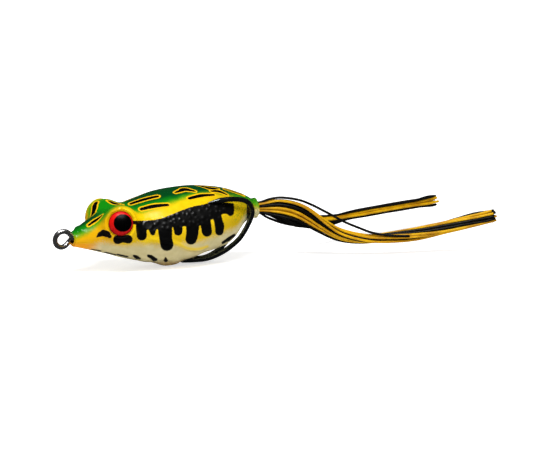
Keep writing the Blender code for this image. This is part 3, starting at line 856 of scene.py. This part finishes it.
def wire_material():
    metal = Shader("black_nickel")
    cloud = metal.noise(scale=500, detail=3, rough=0.6)
    hair = metal.noise(scale=5200, detail=2, rough=0.7, stretch=(0.18, 1.0, 1.0))
    colour = metal.mix(metal.step(cloud, low=0.3, high=0.7),
                       base=(0.085, 0.104, 0.112), over=(0.130, 0.150, 0.158))
    colour = metal.mix(metal.step(hair, low=0.62, high=0.75, to_high=0.30),
                       base=colour, over=(0.07, 0.075, 0.08))
    # painted highlight: the line-tie loop is brighter, a much lighter metal colour than the rest of
    # the same wire, standing in for the light it catches
    loop_highlight = metal.step(metal.position()[0], low=ORIGIN.x + 0.0046, high=ORIGIN.x + 0.0030)
    colour = metal.mix(metal.product(loop_highlight, 0.9), base=colour, over=(0.86, 0.85, 0.84))
    metal.set(
        Base_Color=colour, Metallic=1.0,
        Roughness=metal.step(cloud, low=0.25, high=0.75, to_low=0.18, to_high=0.30),
        Normal=metal.bump(hair, strength=0.06, distance=0.00005))
    return metal.mat


def eye_material():
    eye = Shader("domed_eye_paint")
    radial, pupil, height = (eye.attribute(name) for name in ("radial", "pupil", "side"))
    cloud = eye.noise(scale=900, detail=2, rough=0.5)
    # painted light and shade: the red ring is painted lighter towards its top and darker towards
    # its bottom
    red = eye.mix(eye.step(height, low=-3.2, high=3.6),
                  base=(0.40, 0.002, 0.002), over=(0.76, 0.006, 0.003))
    red = eye.mix(eye.step(cloud, low=0.35, high=0.7, to_high=0.25),
                  base=red, over=(0.75, 0.012, 0.006))
    # the ring darkens towards its rim
    red = eye.mix(eye.step(radial, low=3.45, high=4.0, to_high=0.75),
                  base=red, over=(0.09, 0.001, 0.001))
    waver = eye.centred_noise(scale=3200, detail=2, rough=0.5)
    edge = eye.scaled(waver, times=0.12, plus=pupil)
    iris = eye.step(edge, low=2.82, high=2.92)
    eye.set(
        Base_Color=eye.mix(iris, base=(0.0004, 0.0004, 0.0004), over=red),
        Roughness=eye.step(cloud, low=0.2, high=0.8, to_low=0.26, to_high=0.34),
        Specular_IOR_Level=eye.step(iris, low=0.0, high=1.0, to_low=0.06, to_high=0.12),
        Coat_Weight=eye.step(iris, low=0.0, high=1.0, to_low=0.02, to_high=0.04),
        Coat_Roughness=0.16,
        Normal=eye.bump(eye.noise(scale=700, detail=2, rough=0.5),
                        strength=0.03, distance=0.0002))
    return eye.mat


def cast_material():
    lead = Shader("cast_lead")
    grain = lead.noise(scale=1800, detail=4, rough=0.65)
    lead.set(
        Base_Color=lead.mix(lead.step(grain, low=0.35, high=0.65),
                            base=(0.13, 0.13, 0.14), over=(0.27, 0.27, 0.28)),
        Metallic=0.9,
        Roughness=lead.step(grain, low=0.3, high=0.7, to_low=0.5, to_high=0.72),
        Normal=lead.bump(grain, strength=0.4, distance=0.0002))
    return lead.mat


def rubber_material(name, low, high, edge, rough):
    """Skirt rubber: lengthwise extrusion lines, a slow change of colour and a waxy sheen."""
    rubber = Shader(name)
    tint = rubber.noise(scale=160, detail=2, rough=0.5)
    lines = rubber.noise(scale=4200, detail=2, rough=0.6, stretch=(0.05, 1.0, 1.0))
    colour = rubber.mix(rubber.step(tint, low=0.36, high=0.64), base=low, over=high)
    colour = rubber.mix(rubber.step(lines, low=0.55, high=0.75, to_high=0.4),
                        base=colour, over=edge)
    rubber.set(
        Base_Color=colour,
        Roughness=rubber.step(lines, low=0.3, high=0.7, to_low=rough, to_high=rough + 0.14),
        Specular_IOR_Level=0.22, Sheen_Weight=0.01,
        Normal=rubber.bump(lines, strength=0.16, distance=0.00008))
    return rubber.mat


# ---- body ----
body = build_body()
body.data.materials.clear()
body.data.materials.append(body_material())
register(body, "body", "body_shell")

# ---- eyes ----
EYE_RIM, EYE_DOME = 0.45, 1.25  # heights of the upright rim and of the dome on it
EYE_STEPS, DOME_STEPS = 96, 24
PUPIL_BACK, PUPIL_STRETCH = 0.62, 0.97
eye_paint = eye_material()


def eye_disc(name):
    """A flat-backed domed disc on the XY plane, in mm."""
    sphere = (EYE_R**2 + EYE_DOME**2) / (2 * EYE_DOME)
    # radius, height
    profile = [(EYE_R - 0.18, 0.0), (EYE_R - 0.05, 0.05), (EYE_R, 0.18), (EYE_R, EYE_RIM - 0.08)]
    top = math.asin(EYE_R / sphere)
    for k in range(1, DOME_STEPS):
        angle = top * (1 - k / DOME_STEPS)
        height = EYE_RIM + EYE_DOME - sphere * (1 - math.cos(angle))
        profile.append((sphere * math.sin(angle), height))
    shape = bmesh.new()
    turns = [2 * math.pi * k / EYE_STEPS for k in range(EYE_STEPS)]
    rings = [
        [shape.verts.new((radius * math.cos(turn), radius * math.sin(turn), height))
         for turn in turns]
        for radius, height in profile
    ]
    for first, second in zip(rings, rings[1:]):
        bridge(shape, first, second)
    tip = shape.verts.new((0, 0, EYE_RIM + EYE_DOME))
    back = shape.verts.new((0, 0, 0))
    for k in range(EYE_STEPS):
        j = (k + 1) % EYE_STEPS
        shape.faces.new((rings[-1][k], rings[-1][j], tip))
        shape.faces.new((rings[0][j], rings[0][k], back))
    return to_mesh(shape, name)


def build_eye(name, sign, node):
    """An eye standing where the CAD eye stands; sign is -1 on the left and 1 on the right."""
    mesh = eye_disc(name)
    x, y, _ = np.array([vert.co for vert in mesh.vertices]).T
    # the disc's x axis points to the tail on the left eye and to the nose on the right
    tailward = -sign
    normal = Vector((EYE_AXIS[0], sign * EYE_AXIS[1], EYE_AXIS[2]))
    side = (Vector((1, 0, 0)) - normal * normal.x).normalized() * tailward
    basis = Matrix((side, normal.cross(side), normal)).transposed()
    store(mesh, "radial", np.hypot(x, y))
    store(mesh, "pupil", np.hypot((x * tailward - PUPIL_BACK) * PUPIL_STRETCH, y))
    store(mesh, "side", y)
    centre = Vector((EYE_CENTRE[0], sign * EYE_CENTRE[1], EYE_CENTRE[2])) + normal * 0.3
    place = Matrix.Translation(centre * MILLI + ORIGIN)
    mesh.transform(place @ basis.to_4x4() @ Matrix.Scale(MILLI, 4))
    shade(mesh, 50)
    mesh.materials.append(eye_paint)
    obj = add_object(name, mesh)
    # centre its box on the CAD eye's
    low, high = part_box(node)
    got = np.array([vert.co for vert in mesh.vertices])
    shift = (Vector(low) + Vector(high)) / 2 - (Vector(got.min(0)) + Vector(got.max(0))) / 2
    mesh.transform(Matrix.Translation(shift))
    register(obj, "body", node)


build_eye("left_eye", -1, "eye_left")
build_eye("right_eye", 1, "eye_right")

# ---- the double hook ----
WIRE_R, LOOP_R, LOOP_X, SHANK_Y = 0.83, 2.68, -0.05, 0.86
LOOP_REACH = 3.9  # with the loop's radius, sets where the loop leaves the shank
LOOP_STEPS = 40
HOOK_SPLAY, SPLAY_Z = 0.40, -10.7  # the bends lean outward with height above this level
POINT_TAPER = 4.2
# one bend of the hook, from the shank round to the point (x, z)
HOOK_PROFILE = (
    (42.2, -10.15), (46.5, -10.4), (51.0, -10.25), (54.9, -9.0), (58.4, -6.9), (61.4, -3.9),
    (63.3, 0.3), (64.15, 4.2), (63.2, 7.2), (60.6, 9.3), (56.6, 10.15), (52.6, 10.2), (47.3, 9.65),
)
# the left shank forward to the loop, and the right shank back from it (x, z)
SHANK_LEFT = (
    (40.4, -9.4), (38.4, -8.05), (36.4, -7.05), (34.0, -6.4), (24.0, -4.6), (14.0, -2.6),
    (8.0, -1.35), (5.0, -0.45), (4.1, -0.05), (3.4, 0.35),
)
SHANK_RIGHT = (
    (3.4, -0.35), (4.1, -0.3), (5.0, -0.58), (8.0, -1.42), (14.0, -2.65), (24.0, -4.6),
    (34.0, -6.4), (36.4, -7.05), (38.4, -8.05), (40.4, -9.4),
)
BARB_R, BARB_TIP_R, BARB_LENGTH = 0.42, 0.04, 2.0
# ring offset and radius, both in tube radii, that round off a tube's end
END_DOME = ((0.55, 0.45), (0.38, 0.80))


def hook_side(sign, steps):
    return smooth_curve([
        (x, sign * (SHANK_Y + HOOK_SPLAY * max(z - SPLAY_Z, 0.0)), z) for x, z in HOOK_PROFILE
    ], steps)


def tube_mesh(name, path, radii, sides):
    """A closed round tube along a path, with domed ends."""
    path = [np.array(point, float) for point in path]
    last = len(path) - 1
    normal = None
    shape = bmesh.new()
    rings = []
    for i, point in enumerate(path):
        tangent = path[min(i + 1, last)] - path[max(i - 1, 0)]
        tangent = tangent / max(np.linalg.norm(tangent), 1e-9)
        if normal is None:
            normal = np.cross(tangent, (0.0, 0.0, 1.0))
            normal /= np.linalg.norm(normal)
        normal = normal - tangent * float(normal @ tangent)
        normal /= np.linalg.norm(normal)
        side = np.cross(tangent, normal)
        steps = [(0.0, 1.0)]
        if i == 0:
            steps = [(-shift, share) for shift, share in END_DOME] + steps
        if i == last:
            steps = steps + list(reversed(END_DOME))
        for shift, share in steps:
            centre = point + tangent * shift * radii[i]
            ring = []
            for k in range(sides):
                turn = 2 * math.pi * k / sides
                spoke = normal * math.cos(turn) + side * math.sin(turn)
                ring.append(shape.verts.new(tuple(world_array(centre + spoke * radii[i] * share))))
            rings.append(ring)
    for first, second in zip(rings, rings[1:]):
        bridge(shape, first, second)
    shape.faces.new(list(reversed(rings[0])))
    shape.faces.new(rings[-1])
    bmesh.ops.recalc_face_normals(shape, faces=shape.faces)
    mesh = to_mesh(shape, name)
    shade(mesh, 65)
    return mesh


def hook_path():
    """One wire from the left point, round the line-tie loop, to the right point."""
    touch = math.acos(LOOP_R / LOOP_REACH)
    turn = 2 * math.pi - 2 * touch
    loop = []
    for k in range(LOOP_STEPS + 1):
        angle = touch + turn * k / LOOP_STEPS
        loop.append((LOOP_X + LOOP_R * math.cos(angle), -SHANK_Y + 2 * SHANK_Y * k / LOOP_STEPS,
                     LOOP_R * math.sin(angle)))
    path = list(reversed(hook_side(-1, 9)))
    right_bend = hook_side(1, 9)
    left_shank = [(x, -SHANK_Y, z) for x, z in SHANK_LEFT]
    right_shank = [(x, SHANK_Y, z) for x, z in SHANK_RIGHT]
    path += smooth_curve([path[-1]] + left_shank, 5)[1:]
    path += loop
    path += smooth_curve(right_shank + [right_bend[0]], 5)[:-1]
    path += right_bend
    # leave out points that almost coincide
    kept = [path[0]]
    for point in path[1:]:
        point = np.array(point, float)
        if np.linalg.norm(point - kept[-1]) > 0.08:
            kept.append(point)
    return kept


def build_barb(sign, side):
    """A small cone near the point that leans off the wire."""
    before, near_tip = [Vector(point) for point in hook_side(sign, 3)[-3:-1]]
    along = (before - near_tip).normalized()
    inward = Vector((0.0, -sign * 0.42, -0.9))
    inward = (inward - along * inward.dot(along)).normalized()
    shape = bmesh.new()
    bmesh.ops.create_cone(shape, cap_ends=True, segments=14, radius1=BARB_R * MILLI,
                          radius2=BARB_TIP_R * MILLI, depth=BARB_LENGTH * MILLI)
    lean = (along * 0.90 + inward * 0.44).normalized()
    centre = near_tip + along * 1.6 + inward * 0.42
    turn = lean.to_track_quat("Z", "Y").to_matrix().to_4x4()
    bmesh.ops.transform(shape, matrix=Matrix.Translation(world(*centre)) @ turn,
                        verts=shape.verts)
    return add_object("barb_" + side, to_mesh(shape, "barb_" + side))


def build_hook():
    path = hook_path()
    run = arc_lengths(path)
    radii = [
        WIRE_R * (0.06 + 0.94 * min(min(at, run[-1] - at) / POINT_TAPER, 1.0) ** 0.8)
        for at in run
    ]
    obj = add_object("hook_wire", tube_mesh("hook_wire", path, radii, 28))
    barbs = [build_barb(-1, "left"), build_barb(1, "right")]
    for barb in barbs:
        add_boolean(obj, barb.name, "UNION", barb)
    mesh = apply_booleans(obj, barbs)
    shade(mesh, 50)
    mesh.materials.clear()
    mesh.materials.append(wire_material())
    register(obj, "hook", "double_hook")


build_hook()

# ---- keel weight: the CAD piece with a cast surface ----
weight = frame["nodes"]["keel_weight"]
weight.data.materials.clear()
weight.data.materials.append(cast_material())

# ---- skirt: the collar in the tube's mouth, and every strand drawn into it ----
GOLD = rubber_material("gold_strand", low=(0.52, 0.24, 0.0005), high=(0.78, 0.43, 0.0008),
                       edge=(0.28, 0.12, 0.0005), rough=0.30)
BLACK = rubber_material("black_strand", low=(0.0015, 0.0015, 0.0015),
                        high=(0.004, 0.004, 0.0035), edge=(0.012, 0.010, 0.007), rough=0.34)
COLLAR = rubber_material("collar_rubber", low=(0.006, 0.006, 0.006),
                         high=(0.016, 0.016, 0.015), edge=(0.03, 0.03, 0.028), rough=0.45)
# radius, distance behind the tube's end
COLLAR_PROFILE = ((1.2, -1.15), (1.75, -0.8), (2.0, -0.4), (2.0, 0.0), (1.7, 0.12))
COLLAR_STEPS = 48


def build_collar():
    shape = bmesh.new()
    turns = [2 * math.pi * k / COLLAR_STEPS for k in range(COLLAR_STEPS)]
    rings = []
    for radius, back in COLLAR_PROFILE:
        rings.append([
            shape.verts.new(tuple(world(
                TAIL_X + back, radius * math.cos(turn), TUBE_Z + radius * math.sin(turn))))
            for turn in turns
        ])
    for first, second in zip(rings, rings[1:]):
        bridge(shape, first, second)
    shape.faces.new(rings[0])
    shape.faces.new(rings[-1])
    bmesh.ops.recalc_face_normals(shape, faces=shape.faces)
    mesh = to_mesh(shape, "collar")
    shade(mesh, 40)
    mesh.materials.append(COLLAR)
    register(add_object("collar", mesh), "skirt", "skirt_collar")


build_collar()

# centre lines of the legs and of the loose strands (x, outward, z)
LEG_LEFT = (
    (70.4, 1.02, 4.68), (76.0, 2.9, 4.6), (82.0, 4.95, 2.9), (88.4, 6.9, -1.2), (94.0, 8.6, -4.4),
    (100.0, 10.5, -5.9), (107.0, 12.7, -6.2), (119.5, 16.5, -4.7), (131.9, 20.4, -2.1),
    (143.4, 24.0, 0.5),
)
LEG_RIGHT = (
    (70.4, 1.02, 4.68), (76.0, 2.7, 3.6), (82.0, 4.8, 0.6), (87.5, 6.6, -1.9), (94.0, 8.6, -3.5),
    (101.0, 10.8, -3.8), (108.4, 13.1, -3.3), (118.4, 16.2, -3.15), (131.0, 20.1, -3.2),
    (144.2, 24.2, -3.1),
)
LOOSE_LEFT = (
    (68.2, 0.02, 6.25), (69.4, 0.15, 6.32), (70.9, 0.8, 6.8), (73.0, 1.8, 7.6), (76.2, 3.1, 8.0),
    (81.3, 4.7, 7.2), (85.5, 6.0, 5.5), (91.0, 7.7, 2.4), (95.5, 9.6, -0.3), (99.8, 11.5, -2.33),
    (104.2, 13.6, -4.1), (109.7, 15.6, -5.05), (115.2, 17.2, -5.4),
)
LOOSE_RIGHT = (
    (68.2, 0.02, 3.25), (69.4, 0.15, 3.16), (70.9, 0.8, 2.55), (73.0, 1.75, 1.2), (75.4, 2.8, 0.0),
    (80.0, 4.3, -1.9), (85.0, 5.9, -3.4), (91.5, 7.9, -5.0),
)
COLUMNS = (4, 5, 4, 5)  # strands in each column of a leg
# pitch across columns and along a column, in the collar and in the grown bundle
ROOT_PITCH, BUNDLE_PITCH = (0.46, 0.68), (0.70, 0.83)
ROOT_R, NECK_R, STRAND_R, THIN_STRAND_R = 0.27, 0.285, 0.40, 0.30
ROOT_START, ROOT_POINTS = TAIL_X - 0.25, 5
STRAND_SIDES = 12
SLOTS = {part["node"]: part["material_slot"] for part in frame["record"]["subparts"]}


def add_strand(name, mesh_name, node, path, radii):
    obj = add_object(name, tube_mesh(mesh_name, path, radii, STRAND_SIDES))
    slot = "gold_rubber" if SLOTS[node] == "gold_rubber" else "black_rubber"
    obj.data.materials.append(GOLD if slot == "gold_rubber" else BLACK)
    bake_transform(obj)
    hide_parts(node)


def strand_root(first):
    """Points that run straight back from the collar to a strand's first point."""
    root = []
    for k in range(ROOT_POINTS):
        t = k / ROOT_POINTS
        root.append(np.array((
            ROOT_START + (first[0] - ROOT_START) * t,
            first[1] * (0.90 + 0.10 * t),
            TUBE_Z + (first[2] - TUBE_Z) * (0.86 + 0.14 * t),
        )))
    return root


def build_leg(side, sign, points, twist, twist_end):
    """A bundle of strands that turns by twist degrees up to the share twist_end of its length."""
    line = smooth_curve([(x, sign * y, z) for x, y, z in points], 8)
    line_run = arc_lengths(line)
    total = line_run[-1]
    run = np.linspace(0.0, total, 85)
    line = np.array(line)
    centre = np.stack([np.interp(run, line_run, line[:, k]) for k in range(3)], -1)

    def point_at(at):
        return np.array([np.interp(at, run, centre[:, k]) for k in range(3)])

    places = [
        (column - 1.5, k - (count - 1) / 2)
        for column, count in enumerate(COLUMNS) for k in range(count)
    ]
    wander = np.random.RandomState(11 if sign < 0 else 12)
    for number, (column, row) in enumerate(places, start=1):
        trim = 1.0 - 0.018 * ((number * 5) % 7) / 6 - 0.014 * wander.rand()
        phase = wander.rand(4) * 6.28
        strand_r = THIN_STRAND_R if side == "right" and number == 18 else STRAND_R
        path, radii = [], []
        for at in run * trim:
            tangent = point_at(min(at + 0.8, total)) - point_at(max(at - 0.8, 0.0))
            tangent = tangent / np.linalg.norm(tangent)
            outward = np.cross((0.0, 0.0, 1.0), tangent)
            outward /= np.linalg.norm(outward)
            if outward[1] * sign < 0:
                outward = -outward
            rise = np.array((0.0, 0.0, 1.0)) - tangent * tangent[2]
            rise /= np.linalg.norm(rise)
            grown = float(smoothstep(0.0, 9.0, at))
            # the bundle fans out upright just behind the collar
            swell = smoothstep(-1.5, 5.0, at) * (1 - smoothstep(10.0, 28.0, at))
            fan = 1.0 + 0.56 * float(swell)
            out = column * (ROOT_PITCH[0] * (1 - grown) + BUNDLE_PITCH[0] * grown)
            up = row * (ROOT_PITCH[1] * (1 - grown) + BUNDLE_PITCH[1] * grown)
            turned = float(smoothstep(6.0, total * twist_end, at))
            angle = twist * turned * math.pi / 180 * sign
            flare = 1.0 + 0.10 * float(smoothstep(0.7, 1.0, at / total))
            out, up = (
                (out * math.cos(angle) - up * math.sin(angle)) * flare,
                (out * math.sin(angle) + up * math.cos(angle)) * flare * fan,
            )
            # strands wander, most of all near their ends
            loose = 0.045 * grown + 0.26 * float(smoothstep(0.84, 1.0, at / total))
            out += loose * math.sin(at * 0.21 + phase[0])
            out += 0.5 * loose * math.sin(at * 0.53 + phase[1])
            up += loose * math.sin(at * 0.24 + phase[2])
            up += 0.5 * loose * math.sin(at * 0.47 + phase[3])
            path.append(point_at(at) + outward * out + rise * up)
            radii.append(NECK_R + (strand_r - NECK_R) * grown)
        path = strand_root(path[0]) + path
        radii = [ROOT_R] * ROOT_POINTS + radii
        node = f"leg_{side}_strand_{number:02d}"
        add_strand(node.replace("leg_", "skirt_"), node, node, path, radii)


def build_loose_strand(side, sign, points):
    path = smooth_curve([(x, sign * y, z) for x, y, z in points], 8)
    radii = [0.30 + 0.11 * min(i / 14, 1.0) for i in range(len(path))]
    name = f"skirt_{side}_loose"
    add_strand(name, name, f"leg_{side}_loose_strand", path, radii)


build_leg("left", -1, LEG_LEFT, twist=190.0, twist_end=1.0)
build_leg("right", 1, LEG_RIGHT, twist=80.0, twist_end=0.6)
build_loose_strand("left", -1, LOOSE_LEFT)
build_loose_strand("right", 1, LOOSE_RIGHT)

# ---- floor, light and camera; these sizes are in metres ----
FLOOR_HALF, FLOOR_GAP = 3.0, 0.0004


def floor_material():
    paper = Shader("floor_paper")
    grain = paper.noise(scale=90, detail=3, rough=0.5)
    colour = paper.mix(paper.step(grain, low=0.3, high=0.7),
                       base=(0.90, 0.90, 0.90), over=(0.92, 0.92, 0.92))
    paper.set(Base_Color=colour, Roughness=0.9, Specular_IOR_Level=0.1)
    # it glows to the camera only, so it stays white and throws no extra light on the lure
    seen = paper.node("LightPath").outputs["Is Camera Ray"]
    paper.set(Emission_Color=(1.0, 1.0, 1.0), Emission_Strength=paper.product(seen, 0.62))
    return paper.mat


def build_floor():
    mesh = bpy.data.meshes.new("floor")
    corners = [(x * FLOOR_HALF, y * FLOOR_HALF, 0) for x, y in ((-1, -1), (1, -1), (1, 1), (-1, 1))]
    mesh.from_pydata(corners, [], [(0, 1, 2, 3)])
    floor = add_object("floor", mesh)
    floor.location.z = shell_low.z - FLOOR_GAP
    mesh.materials.append(floor_material())
    floor.visible_glossy = False


def build_world():
    studio = bpy.data.worlds.new("studio")
    bpy.context.scene.world = studio
    bpy.context.scene.view_settings.view_transform = "Standard"
    studio.use_nodes = True
    nodes, links = studio.node_tree.nodes, studio.node_tree.links
    background = nodes["Background"]
    background.inputs["Color"].default_value = (1.0, 1.0, 1.0, 1.0)
    # the surroundings are dimmer in reflections than in the soft light they give
    path = nodes.new("ShaderNodeLightPath")
    level = nodes.new("ShaderNodeMapRange")
    links.new(path.outputs["Is Glossy Ray"], level.inputs["Value"])
    level.inputs["To Min"].default_value = 0.24
    level.inputs["To Max"].default_value = 0.035
    links.new(level.outputs[0], background.inputs["Strength"])


def area_light(name, offset, width, height, power, glossy):
    """A rectangular light, placed from the body's middle and aimed at it."""
    middle = (Vector(shell_low) + Vector(shell_high)) / 2
    lamp = bpy.data.lights.new(name, "AREA")
    lamp.shape = "RECTANGLE"
    lamp.size, lamp.size_y = width, height
    lamp.energy = power
    obj = add_object(name, lamp)
    obj.location = middle + Vector(offset)
    obj.rotation_euler = (middle - obj.location).to_track_quat("-Z", "Y").to_euler()
    obj.visible_glossy = glossy


def build_camera():
    """An orthographic view square to the stencil plane."""
    data = bpy.data.cameras.new("camera")
    camera = add_object("camera", data)
    data.type = "ORTHO"
    data.ortho_scale = 0.1774
    data.clip_end = 5.0
    toward = Vector((
        math.sin(AZIMUTH) * math.cos(ELEVATION),
        -math.cos(AZIMUTH) * math.cos(ELEVATION),
        math.sin(ELEVATION),
    ))
    aim = ORIGIN + Vector(SIGHT_RIGHT) * 68.45 * MILLI + Vector(SIGHT_UP) * 4.61 * MILLI
    camera.location = aim + toward * 0.8
    camera.rotation_euler = toward.to_track_quat("Z", "Y").to_euler()
    bpy.context.scene.camera = camera


build_floor()
build_world()
area_light("key", offset=(-0.12, -0.24, 0.50), width=0.34, height=0.20, power=3.1, glossy=True)
area_light("fill", offset=(0.30, -0.50, 0.20), width=0.40, height=0.26, power=0.5, glossy=False)
area_light("rim", offset=(0.10, 0.45, 0.42), width=0.50, height=0.20, power=0.6, glossy=False)
build_camera()
